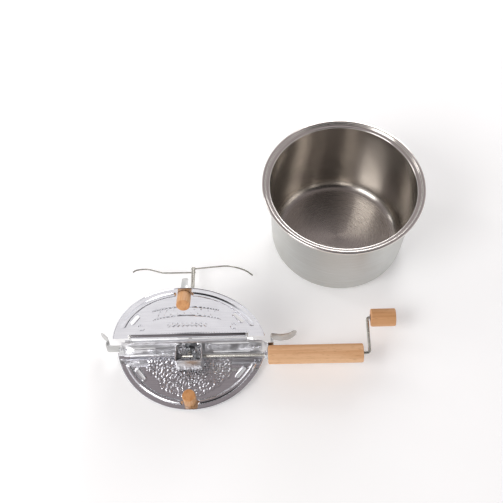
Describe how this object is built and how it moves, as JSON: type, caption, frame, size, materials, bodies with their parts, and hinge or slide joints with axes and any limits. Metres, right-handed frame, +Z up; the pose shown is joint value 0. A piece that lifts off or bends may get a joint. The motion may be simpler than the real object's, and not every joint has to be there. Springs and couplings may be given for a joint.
{
  "type": "hand-cranked popcorn maker",
  "caption": "Stovetop popcorn maker: a stainless pot, and beside it a two-leaf lid with crossbar, bevel gears, hand crank, wooden handle and wire stirrer.",
  "frame": {"origin": "centre of the pot's base, on the table", "axes": "+Z up; +X towards the crank end of the lid's handle; -Y towards the side where the lid lies"},
  "size_m": [0.5037, 0.4391, 0.151],
  "materials": {
    "pot_steel": "satin brushed, polished rim",
    "plated_steel": "bright zinc plated",
    "spring_steel": "satin",
    "rod_steel": "smooth drawn",
    "leaf_aluminium": "polished",
    "gear_metal": "as stamped",
    "beech": "sanded, lightly sealed"
  },
  "bodies": {
    "pot": {"pot_body": "pot_steel"},
    "lid_frame": {"crossbar": "plated_steel", "hinge_wires": "rod_steel", "gear_bracket": "plated_steel", "bracket_rivets": "plated_steel", "crank_bushings": "gear_metal", "rod_bushing": "gear_metal", "handle": "beech", "handle_tube": "rod_steel", "tube_nut": "plated_steel", "handle_clip": "spring_steel", "far_clip": "spring_steel", "clip_rivets": "plated_steel"},
    "upper_leaf": {"upper_half_lid": "leaf_aluminium", "upper_lid_knob": "beech", "upper_knob_screw": "plated_steel", "guide_tab": "spring_steel"},
    "lower_leaf": {"lower_half_lid": "leaf_aluminium", "lower_lid_knob": "beech", "lower_knob_screw": "plated_steel"},
    "crank": {"crank_rod": "rod_steel", "crank_gear": "gear_metal", "crank_gear_pin": "rod_steel", "crank_collar": "gear_metal", "knob_washers": "plated_steel"},
    "crank_grip": {"crank_knob": "beech"},
    "stirrer": {"stir_rod": "rod_steel", "stir_gear": "gear_metal", "stir_collar": "gear_metal", "long_stir_wire": "rod_steel", "short_stir_wire": "rod_steel"}
  },
  "joints": [
    {"name": "lid_lift", "type": "slide", "parent": "pot", "child": "lid_frame", "axis": [0, 0, 1], "range_m": [0, 0.3]},
    {"name": "upper_leaf_hinge", "type": "hinge", "parent": "lid_frame", "child": "upper_leaf", "pos_m": [-0.23837, -0.21564, 0.05918], "axis": [0.9991, 0.0024, 0.0412], "range_deg": [0, 98]},
    {"name": "lower_leaf_hinge", "type": "hinge", "parent": "lid_frame", "child": "lower_leaf", "pos_m": [-0.23623, -0.22016, 0.00742], "axis": [-0.9991, -0.0024, -0.0412], "range_deg": [-101.2, 0]},
    {"name": "crank_spin", "type": "hinge", "parent": "lid_frame", "child": "crank", "pos_m": [-0.23732, -0.23842, 0.03509], "axis": [0.9991, 0.0024, 0.0412], "continuous": true},
    {"name": "grip_spin", "type": "hinge", "parent": "crank", "child": "crank_grip", "pos_m": [0.04131, -0.17597, 0.04118], "axis": [0.9991, 0.0024, 0.0412], "continuous": true},
    {"name": "stir_spin", "type": "hinge", "parent": "lid_frame", "child": "stirrer", "pos_m": [-0.2373, -0.2179, 0.0333], "axis": [-0.0012, -0.9962, 0.087], "continuous": true}
  ],
  "couplings": [
    {"joint": "stir_spin", "follows": "crank_spin", "ratio": 1}
  ]
}
